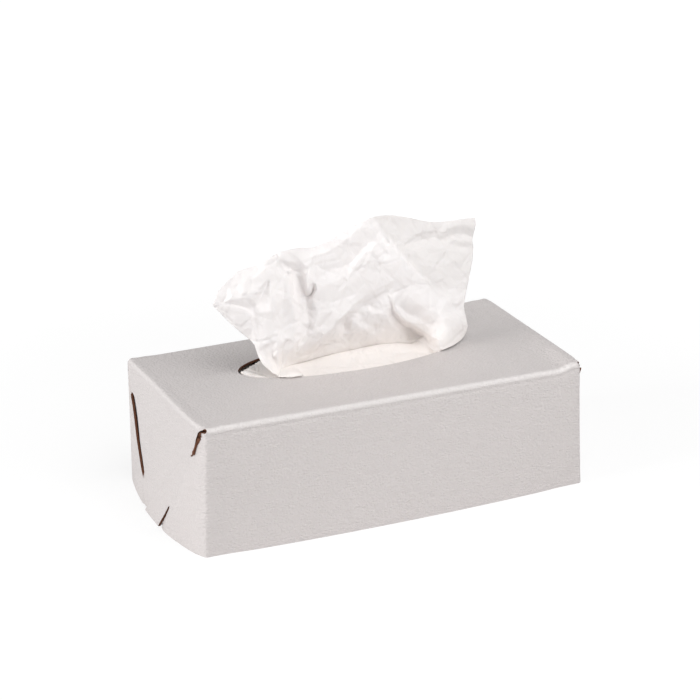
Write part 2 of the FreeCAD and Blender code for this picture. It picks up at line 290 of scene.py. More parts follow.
def tissueFinish():
    finish = Finish("softTissue")
    crepe = finish.noise(tissueLook["crepe"], 3.0, 0.65)
    cloudy = finish.noise(60, 3.0)
    warped = finish.warped(40, 3.0, 0.01)
    lines = []
    for way, (scale, width) in zip((warped, warped, finish.place), tissueLook["creases"]):
        edges = finish.node("ShaderNodeTexVoronoi", {"feature": "DISTANCE_TO_EDGE"},
                            {"Vector": way, "Scale": scale}, "Distance")
        lines.append(finish.spread(edges, 0.0, width))
    across = finish.node("ShaderNodeSeparateXYZ", {}, {0: finish.place}, "X")
    height = finish.node("ShaderNodeSeparateXYZ", {}, {0: finish.place}, "Z")
    foot = finish.spread(height, 0.082, tissueLook["footTop"], 0.85, 0.0)
    (fromX, fromZ), (toX, toZ) = tissueLook["paintedShadeFrom"], tissueLook["paintedShadeTo"]
    # painted shade over the upper right: past the slanting edge and above a height
    beyond = finish.spread((across - fromX) * toX + (height - fromZ) * toZ, -0.0005, 0.001)
    above = finish.spread(height, 0.108, 0.126)
    single = finish.blend(cloudy, tissueLook["face"], tissueLook["shade"])
    sheet = finish.blend(0.8 * beyond * above, single, tissueLook["paintedShade"])
    finish.set(Base_Color=finish.blend(foot, sheet, tissueLook["foot"]), Roughness=0.92 + 0.05 * crepe,
               Specular_IOR_Level=0.15, Subsurface_Weight=0.15, Subsurface_Radius=(1.0, 0.9, 0.8),
               Subsurface_Scale=0.002)
    finish.bump(0.9 * lines[0] + 0.4 * lines[1] + 1.6 * lines[2] * cloudy + 0.35 * crepe,
                tissueLook["relief"])
    return finish.material


paleLeather, brownCut, softTissue = leatherFinish(), cutFinish(), tissueFinish()
print("materials ready")


# the leather cover: one sheet, bent along its folds, its end flaps hooked into each other

cover = {
    "fold": 3.2,         # outer radius of a fold
    "foldHighlightPaint": {"long": 1.0, "end": 0.55},  # how strongly the long and end folds get their painted highlight
    "thickness": 1.5,
    "proud": {"top": 0.7, "front": 0.4, "back": 1.2},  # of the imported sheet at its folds
    "belly": 11.07,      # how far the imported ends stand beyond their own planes
    "columns": 60,       # along the long panels
    "ends": 44,          # along an end
    "rings": [0, 0.03, 0.08, 0.15, 0.24, 0.34, 0.45, 0.56, 0.67, 0.76, 0.84, 0.89, 0.92, 0.945, 0.965,
              0.985, 1],
    "frontBow": 4.5,     # the long panels bow outwards at the foot
    "backBow": 3.5,
    "frontDip": 2.8,     # and their top folds hang down between the corners
    "backDip": 0.7,
    "flap": 78.5,        # how far the front flap reaches at the foot
    "crease": 0.64,      # where it bends, as a share of its reach
    "slitHalf": 1.15,    # the slit at its foot
    "slitTop": 18.4,
    "slotFoot": 15.5,    # the slot between the top flap and the back flap
    "slotTop": 63.5,
    "layer": 1.75,       # one flap over another
    "tongue": 4.0,
    "plump": {-1: (1.1, 1.9), 1: (2.2, 2.0)},  # each end stands out a little, front and back
    "topBow": {-1: 1.2, 1: 0.2},
    "cornerHole": 0.45,  # how wide the relief holes are seen from a fold's centre, in radians
    "oval": (3.3, 11.0, 75.7, 27.0),  # middle x and y, and half its length and width
}
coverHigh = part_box("cover")[1] / mm
topLevel = coverHigh.z + cover["proud"]["top"]
frontDepth, backDepth = coverHigh.y + cover["proud"]["front"], coverHigh.y + cover["proud"]["back"]
halfLength = coverHigh.x - cover["belly"]
radius = cover["fold"]
foldTop = topLevel - radius
span = frontDepth + backDepth - 2 * radius  # an end's width between its upright folds
pull = 0.55 * radius  # how far a fold's section leads on from its panels
rows = [0, 3, 6, 9, 11.5, 13.4, 14.6, 15.4, 16.0, 16.6, 17.4, 18.5, 20.5, 23, 26, 29, 32, 35, 38, 41, 44,
        47, 50, 53, 55.5, 57.5, 59, 60.2, 61, 61.6, 62.3, 63, 64.2, 66, 69, 72, 74.5, 75.8, 76.8, 77.7,
        78.6, foldTop]  # heights of the upright sheets' points
backTop = rows.index(74.5)  # the back flap ends under the top flap
arcSteps = 6


# On an end, u runs from the front corner to the back one and v up from the foot. On the long panels a runs
# from the left end to the right one. side is -1 for the left end, and face is -1 for the front.

def rowAt(b):
    return rows[round(b * (len(rows) - 1))]


def taper(v):  # 1 at the foot, 0 at the top folds
    return 1 - v / foldTop


def endAt(side, u):  # how far an end's own plane is from the middle
    front, back = cover["plump"][side]
    return halfLength + mix(front, back, (u - radius) / span)


def dipOfTop(x, y):  # how far the top lies below its corners
    edge = halfLength - radius
    x = max(-edge, min(edge, x))
    share = ease((y + frontDepth - radius) / span)
    front = cover["frontDip"] * (x + edge) / (2 * edge) * ease((edge - x) / 10)  # most near the right end
    back = cover["backDip"] * ease((edge - abs(x)) / 16)
    groove = 0.3 * hump(edge - abs(x) - 2.2, 1.6) * ease((edge - abs(x)) / 1.2)  # beside the end folds
    ripple = 0.35 * noise.noise(Vector((x / 45, y / 45, 0.3)))
    inside = ease((edge - abs(x)) / 25) * ease((y + frontDepth - radius) / 25) * ease(
        (backDepth - radius - y) / 25)  # no ripple at the folds
    return front * (1 - share) ** 2 + back * share ** 2 + ripple * inside + groove


# how far the front flap stands out along its reach, then the flaps' cut edges as (v, u)
flapShape = [(0, 2.3), (0.074, 4.6), (0.2, 6.8), (0.34, 8.7), (0.447, 9.8), (0.56, 10.4), (0.64, 10.0),
             (0.81, 10.0), (0.948, 9.6), (1, 9.3)]
notchShape = {
    -1: [(57, 0), (61.8, 1.4), (63.2, 7.6), (64.1, 9.4), (65.8, 8.4), (70.3, 5.6), (76, 2.2), (79.5, 0.3)],
    1: [(57, 0), (60.8, 1.2), (62.2, 6.0), (63, 7.6), (64.6, 7.0), (70.3, 3.7), (76, 1.8), (79.5, 0)],
}
slotShape = [(0, 85), (15.5, 93.5), (25, 103.6), (35, 111.8), (53, 119.8), (62.5, 124.2), (79.5, 126)]
mitreShape = {
    -1: [(12, 30), (57, 20), (62, 12.4), (63.3, 11.0), (65.3, 10.6), (69.5, 9.1), (75.4, 7.9), (77.8, 7.4),
         (79.5, 6.2)],
    1: [(12, 30), (57, 20), (61, 14.7), (62.3, 13.7), (64.3, 13.4), (69.5, 11.6), (75.4, 9.2), (77.8, 7.4),
        (79.5, 4.6)],
}


def rootOut(side, w):  # how far an end's front corner splays out
    return 2.4 * w if side < 0 else 2.1 * w ** 1.6


def backOut(w):  # and its back corner
    return 0.5 * w ** 1.5


def bowOf(side, u, v):  # the end's top fold bows out, most near the front
    m = (1 - min(1.0, max(0.0, (u - radius) / span))) ** 3.1
    return cover["topBow"][side] * 4 * m * (1 - m) * (1 - ease(taper(v) / 0.5))


def flapOut(side, s, v):  # the front flap, a cone from the top corner
    w = taper(v)
    plain = along(flapShape, s) * w + (rootOut(side, w) - flapShape[0][1] * w) * (1 - s) ** 2
    bent = w * ease((w - 0.79) / 0.21)  # it is creased beside its slit
    past = s - cover["crease"]
    if past > 0:
        return plain + bent * 0.9 * math.exp(-past / 0.12)
    return plain - bent * 0.9 * math.exp(past / 0.06)


def flapEdge(v):
    return radius + cover["flap"] * taper(v)


def slotLens(v):  # where the slot gapes
    return ease((v - cover["slotFoot"]) / 5) * ease((cover["slotTop"] - v) / 5)


def endOut(side, u, v):  # the end's outer face away from the front flap, which lies on it
    w = taper(v)
    edge = flapEdge(v)
    kink = ease((15 - v) / 15)  # the front flap stands off near the foot
    hidden = 1 - ease((v - 57) / 3)  # and goes no higher than this
    step = (0.12 + 1.3 * kink) * hidden
    if u < edge:
        out = flapOut(side, (u - radius) / max(1e-6, edge - radius), v)
        out -= step + (cover["layer"] - step) * ease((edge - u) / 5) * hidden
    else:
        settled = (1 - kink) * ease((u - edge) / 8)
        start = flapShape[-1][1] * w - step * (1 - settled)
        out = mix(start, backOut(w), ((u - edge) / (radius + span - edge)) ** 1.5)
    return out + bowOf(side, u, v)


def endPoint(side, u, v, out):
    y = u - frontDepth
    return (side * (endAt(side, u) + out), y, v - dipOfTop(side * halfLength, y) * v / foldTop)


def curl(start, startPull, end, endPull, t):  # a fold's section, from one panel to the next
    a, b = Vector(start), Vector(start) + Vector(startPull)
    c, d = Vector(end) + Vector(endPull), Vector(end)
    return a * (1 - t) ** 3 + 3 * b * t * (1 - t) ** 2 + 3 * c * t * t * (1 - t) + d * t ** 3


def tightRadius(u):  # the end folds are tighter away from the corners
    return radius - 1.3 * ease((u - radius) / 8) * ease((radius + span - u) / 8)


def longPoint(face, a, v):  # face -1 is the front panel and 1 the back one
    w = taper(v)
    u = radius if face < 0 else radius + span
    ends = [side * (endAt(side, u) - radius) for side in (-1, 1)]
    topX = mix(*ends, a)
    splay = [rootOut(side, w) if face < 0 else backOut(w) for side in (-1, 1)]
    x = topX + mix(-splay[0], splay[1], a)
    bow = cover["frontBow"] if face < 0 else cover["backBow"]
    out = bow * (1 - (x / halfLength) ** 2) * w ** 1.6 * ease((halfLength - abs(x)) / 30)
    out -= 0.5 * hump(foldTop - v - 1.5, 1.0)  # a shallow groove below the fold
    depth = frontDepth if face < 0 else backDepth
    return (x, face * (depth + out), v - dipOfTop(topX, face * (depth - radius)) * v / foldTop)


def longPanel(face, a, b):
    return longPoint(face, a, rowAt(b))


def longFold(face, a, b):  # from the upright panel over to the top
    low = longPoint(face, a, foldTop)
    high = (low[0], low[1] - face * radius, low[2] + radius)
    return curl(low, (0, 0, pull), high, (0, face * pull, 0), b)


def endFold(side, a, b):  # from the top down to an end, a from front to back
    u = radius + span * a
    y = u - frontDepth
    tight = tightRadius(u)
    top = (side * (endAt(side, u) - tight + bowOf(side, u, foldTop)), y,
           topLevel - dipOfTop(side * halfLength, y))
    low = mix(mitreShape[side][-1][1], radius + span, a)
    foot = endPoint(side, low, foldTop, endOut(side, low, foldTop))
    return curl(top, (side * 0.6 * tight, 0, 0), foot, (0, 0, 0.8 * radius - 0.25 * tight), b)


def cornerFold(side, face, a, b):  # the upright folds at the four corners
    v, w = rowAt(b), taper(rowAt(b))
    start = longPoint(face, 0 if side < 0 else 1, v)
    if face < 0:
        end = endPoint(side, radius, v, flapOut(side, 0, v) + bowOf(side, radius, v))
        lean = Vector((side * 0.37, 0.93, 0)) * pull
    else:
        end = endPoint(side, radius + span, v, backOut(w))
        lean = Vector((side * 0.25 * w, -0.97, 0)) * pull
    return curl(start, (side * pull, 0, 0), end, -lean, a)


def cornerCap(side, face, a, b):  # a ring round the small relief hole in a corner
    step = round(a * 3 * arcSteps)
    if step <= arcSteps:
        rim = endFold(side, 0 if face < 0 else 1, 1 - step / arcSteps)
    elif step <= 2 * arcSteps:
        rim = longFold(face, 0 if side < 0 else 1, 2 - step / arcSteps)
    else:
        rim = cornerFold(side, face, step / arcSteps - 2, 1)
    top = Vector(longFold(face, 0 if side < 0 else 1, 1))
    centre = top - Vector((0, 0, radius))
    towards = Vector((side, face, 1)).normalized()
    across = (Vector(rim) - centre) - towards * (Vector(rim) - centre).dot(towards)
    wide = cover["cornerHole"]
    hole = centre + (towards * math.cos(wide) + across.normalized() * math.sin(wide)) * radius
    if face < 0:  # it opens into the slit beside it
        hole = hole.lerp(Vector(rim), 0.9 * ease(1 - min(step, 3 * arcSteps - step) / 2.5))
    return Vector(rim).lerp(hole, b) if b < 1 else hole


def slitHalf(v):
    return cover["slitHalf"] * ease((cover["slitTop"] - v) / 1.2)


def frontFlap(side, part, a, b):  # part 0 runs up to the slit and part 1 goes on from it
    v = rowAt(b)
    reach = flapEdge(v) - radius
    half = slitHalf(v) / reach if reach > 1 else 0
    slit = 0.635 + 0.01 * ease((17 - v) / 17)
    s = mix(0, slit - half, a) if part == 0 else mix(slit + half, 1, a)
    u = radius + reach * s - along(notchShape[side], v) * s ** 3
    return endPoint(side, u, v, flapOut(side, s, v) + bowOf(side, u, v))


def topFlap(side, a, b):
    v = max(1.0, rowAt(b))
    left, slot = along(mitreShape[side], v), along(slotShape, v)
    right = slot + cover["tongue"] * slotLens(v)
    if v > 63:
        right = mix(right, radius + span, ease((v - 63) / (foldTop - 63)))
    u = mix(left, right, a)
    out = endOut(side, u, v)
    out -= 2.3 * slotLens(v) * ease((u - slot + 7) / 7)  # its tongue goes in behind the back flap
    lift = ease((v - 60) / 3) * (1 - ease((u - left) / 6)) * (1 - ease((v - 74) / 4))  # of its free corner
    return endPoint(side, u, v, out + 0.5 * lift)


def backRow(b):
    return rows[round(b * backTop)]


def sunkAt(v):  # the back flap passes under the top flap away from the slot
    return 1 - ease((v - 6) / 10) * (1 - ease((v - 60) / 4))


def backStrip(side, a, b):  # the back flap behind the slot
    v = backRow(b)
    slot = along(slotShape, v)
    near = slot + 0.9 * slotLens(v)
    u = mix(near, radius + span, a)
    under = ease((radius + span - u) / 2.5)
    if v < 30:
        under *= 1 - ease((u - slot - 1) / 6)
    return endPoint(side, u, v, endOut(side, u, v) - cover["layer"] * sunkAt(v) * under
                    + 0.3 * slotLens(v) * (1 - a))


def backMain(side, a, b):  # and its hidden part under the top flap
    v = backRow(b)
    slot = along(slotShape, v)
    far = slot - 9 * slotLens(v)
    u = mix(min(mix(55, 100, v / foldTop), far - 4), far, a)
    return endPoint(side, u, v, endOut(side, u, v) - cover["layer"])


def topPanel(a, b):  # rings from the oval out to the folds
    columns, ends = cover["columns"], cover["ends"]
    step = round(a * 2 * (columns + ends)) % (2 * (columns + ends))
    front, back = radius - frontDepth, backDepth - radius
    if step < columns or columns + ends <= step < 2 * columns + ends:
        face = -1 if step < columns else 1
        share = step / columns if face < 0 else 1 - (step - columns - ends) / columns
        x, y, _ = longPoint(face, share, foldTop)
        y -= face * radius
    else:
        side = 1 if step < columns + ends else -1
        share = (step - columns) / ends if side > 0 else 1 - (step - 2 * columns - ends) / ends
        y = mix(front, back, share)
        x, _, _ = endFold(side, share, 0)
    cx, cy, long, short = cover["oval"]
    turn = math.atan2((y - cy) / short, (x - cx) / long)
    reach = cover["rings"][round(b * (len(cover["rings"]) - 1))]
    px = mix(cx + long * math.cos(turn), x, reach)
    py = mix(cy + short * math.sin(turn), y, reach)
    return (px, py, topLevel - dipOfTop(px, py))


def markPaintedHighlight(piece, columns, level):  # painted highlight, row by row over a fold, strongest at its middle row
    paintedHighlight = piece.data.attributes.new("paintedHighlight", "FLOAT", "POINT")
    for point in piece.data.vertices:
        row = point.index // (columns + 1)
        paintedHighlight.data[point.index].value = level * math.sin(math.pi * row / arcSteps)


def buildSkin():
    parts = []

    def add(name, wide, tall, shape, *which):  # which end, face or part is the shape's first word
        parts.append(laySheet(name, wide, tall, lambda a, b: shape(*which, a, b)))

    columns, ends, tall = cover["columns"], cover["ends"], len(rows) - 1
    add("topPanel", 2 * (columns + ends), len(cover["rings"]) - 1, topPanel)
    for face in (-1, 1):
        add("longPanel", columns, tall, longPanel, face)
        add("longFold", columns, arcSteps, longFold, face)
        markPaintedHighlight(parts[-1], columns, cover["foldHighlightPaint"]["long"])
    for side in (-1, 1):
        add("endFold", ends, arcSteps, endFold, side)
        markPaintedHighlight(parts[-1], ends, cover["foldHighlightPaint"]["end"])
        for face in (-1, 1):
            add("cornerFold", arcSteps, tall, cornerFold, side, face)
            add("cornerCap", 3 * arcSteps, 2, cornerCap, side, face)
        add("frontFlap", 20, tall, frontFlap, side, 0)
        add("frontFlap", 11, tall, frontFlap, side, 1)
        add("topFlap", ends, tall, topFlap, side)
        add("backStrip", 7, backTop, backStrip, side)
        add("backMain", 12, backTop, backMain, side)
    select(*parts)
    bpy.ops.object.join()
    skin = bpy.context.object
    skin.name = "leatherCover"
    closeSeams(skin)
    skin.data.materials.append(paleLeather)
    skin.data.materials.append(brownCut)
    return skin


def thickenSkin(skin):
    wall = skin.modifiers.new("wall", "SOLIDIFY")
    wall.thickness = cover["thickness"] * mm
    wall.offset = -1
    wall.use_even_offset = False
    wall.material_offset = 1
    wall.material_offset_rim = 1
    applyModifiers(skin)
    for face in skin.data.polygons:  # the front flap's long cut edge takes the pale leather instead of the brown
        middle = face.center / mm
        if face.material_index == 1 and 2 < middle.z < 57.5 and face.normal.y > 0.5:
            if abs(middle.y + frontDepth - flapEdge(middle.z)) < 1.5:
                face.material_index = 0
    smoothBelow(skin, 38)


leatherCover = buildSkin()
thickenSkin(leatherCover)
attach(leatherCover, "root")
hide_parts("cover")
print("cover built:", len(leatherCover.data.polygons), "faces")


# the stack of folded tissues inside

stack = {
    "layers": 15,
    "inset": 0.8,    # every other layer lies back this far
    "topRings": 40,
    "rise": 6.2,     # the next sheet stands up in the opening's left end
}
stackLow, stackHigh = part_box("tissue_stack")


def buildStack():
    low, high = stackLow / mm, stackHigh / mm
    wide, deep = high.x - 1, high.y - 1
    sides = 2 * stack["layers"]
    steps = 3 + sides + stack["topRings"]
    cx, cy, long, short = cover["oval"]

    def place(a, b):
        turn = a * 2 * math.pi
        x = max(-1, min(1, 1.42 * math.cos(turn)))  # a circle pressed out into a square
        y = max(-1, min(1, 1.42 * math.sin(turn)))
        step = round(b * steps)
        onTop = step >= sides + 3
        if step <= 3:
            share, z = step / 3, low.z
        elif onTop:
            share, z = (steps - step) / stack["topRings"], high.z
        else:
            share, z = 1, mix(low.z, high.z, (step - 3) / sides)
        tuck = stack["inset"] * (step % 2) if 3 < step < sides + 3 else 0.4
        px, py = x * share * (wide - tuck), y * share * (deep - tuck)
        if onTop:
            z -= 0.25 * (1 + noise.noise(Vector((x * share * 3, y * share * 2, 1))))
            inOval = 1 - ((px - cx) / long) ** 2 - ((py - cy) / short) ** 2
            raised = ease((px + 76.5) / 3) * ease((0.8 * max(0, py) - 46 - px) / 6)
            slope = 0.06 * min(20, max(0, py + 8))
            z += (stack["rise"] + slope) * raised * ease(inOval / 0.045) * ease((65 + 0.7 * px - py) / 4)
        return (px, py, z)

    piece = laySheet("tissueStack", 160, steps, place)
    closeSeams(piece)
    piece.data.materials.append(softTissue)
    smoothBelow(piece, 30)
    return piece


tissueStack = buildStack()
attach(tissueStack, "root")
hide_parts("tissue_stack")
print("stack built")


# the pulled tissue. Its shape is laid out as (x, z) on an upright plane through the opening,
# and each point then slides along the line of sight to its own depth y, so that the outline holds.

tissue = {
    "columns": 240,
    "upright": 130,     # rows above the opening
    "lower": 40,        # and down to the hidden end
    "plane": 10.0,      # where the upright plane stands
    "thickness": 0.25,
    "relief": 1.15,     # of the folds
    "slack": 2.0,       # how loosely the broad form follows its points
    "foldStep": 1.6,
    "dentStep": 9,
    "dentRoom": 4.5,    # how far a dent keeps clear of the folds
    "dentHeight": 0.5,
    "sunk": 1.8,        # the sheet dips behind the apron's upper edge
}
# the four edges of the sheet above the opening, as (x, z)
leftSide = [(-46.5, 76), (-50, 78.5), (-57, 85.8), (-60, 92), (-62, 99.5), (-64.5, 103), (-70.3, 108.5),
            (-77, 115.5), (-89, 130)]
rightSide = [(65, 73.8), (75, 76.2), (79.6, 78.5), (82.5, 81), (84.3, 84.2), (85.2, 87.8), (83.8, 94),
             (82.3, 102.3), (83.3, 108.5), (85.2, 117.5), (88.2, 131.5), (88.8, 140.5), (88, 145.5),
             (90.6, 155.5), (90, 160)]
topSide = [(-89, 130), (-85.3, 138.7), (-72, 149.5), (-59, 151.5), (-44.5, 157.5), (-32, 158.5),
           (-22, 157), (-10, 160), (0, 165), (17.5, 170.8), (24, 171.2), (32, 170.2), (42, 167.5),
           (51, 164.2), (58, 162), (66, 160.8), (74.7, 160.5), (83, 160.4), (90, 160)]
baseSide = [(-46.5, 76), (-44, 81), (-38, 83), (-30, 83.5), (-20, 84.8), (-9, 85.7), (3, 86), (13, 86.6),
            (23.5, 86.6), (34, 85.6), (44.7, 83.5), (50, 84.5), (53.3, 85.6), (55.5, 83), (57, 78),
            (60, 75), (65, 73.8)]
swells = [  # x, z, y: the broad form
    (-89, 130, 3.5), (-77, 115, 3.5), (-70, 108, 4), (-64, 103, 4), (-60, 92, 1), (-57, 86, -2),
    (-46.5, 76, -7), (-72, 149, 7), (-59, 151, 8), (-45, 157, 8), (-30, 158, 9), (-22, 157, 10),
    (-10, 160, 10), (0, 165, 9.5), (18, 171, 7), (32, 170, 11), (44, 167, 13), (58, 162, 12.5),
    (75, 160.5, 13), (90, 160, 14), (88, 145, 14), (88, 131, 12), (85, 118, 9), (82, 103, 5),
    (85, 88, 2), (82, 81, 1), (75, 76.5, -7), (65, 74, -9),
    (-44, 81, 2), (-38, 83, 9), (-30, 83.5, 13), (-20, 85, 14.5), (3, 86, 15.5), (24, 86.6, 15.5),
    (35, 85.6, 15), (45, 83.5, 14), (53, 85, 11), (57, 78, 2),
    (-72, 128, 3), (-64, 121, 2.8), (-61, 102, 2), (-62, 136, 5), (-52, 146, 6.5), (-50, 139, 6),
    (-49, 120, 3), (-50, 104, 1), (-46, 92, 0), (-42, 125, 4), (-42, 140, 6), (-36, 136, 8),
    (-34, 147, 11), (-33, 120, 8), (-36, 105, 5), (-35, 91, 6), (-26, 137, 8), (-27, 112, 9),
    (-16, 128, 7), (-8, 142, 8), (4, 152, 8.5), (-19, 106, 7), (-12, 98, 9), (-3, 112, 7),
    (0, 106, 8.5), (9, 118, 8.5), (22, 126, 7.5), (20, 150, 6), (10, 135, 7), (31, 150, 6.5),
    (40, 156, 11.5), (37, 141, 5.5), (50, 128, 5), (52, 148, 11), (62, 137, 9), (62, 116, 4.5),
    (70, 100, 1.5), (33, 108, 8), (43, 100, 9), (52, 93, 8), (66, 90, -2.5), (63, 83, -5.5), (72, 132, 9),
    (50, 88, 12), (-14, 93, 10.5), (10, 98, 10), (26, 97, 10), (40, 92, 13),
]
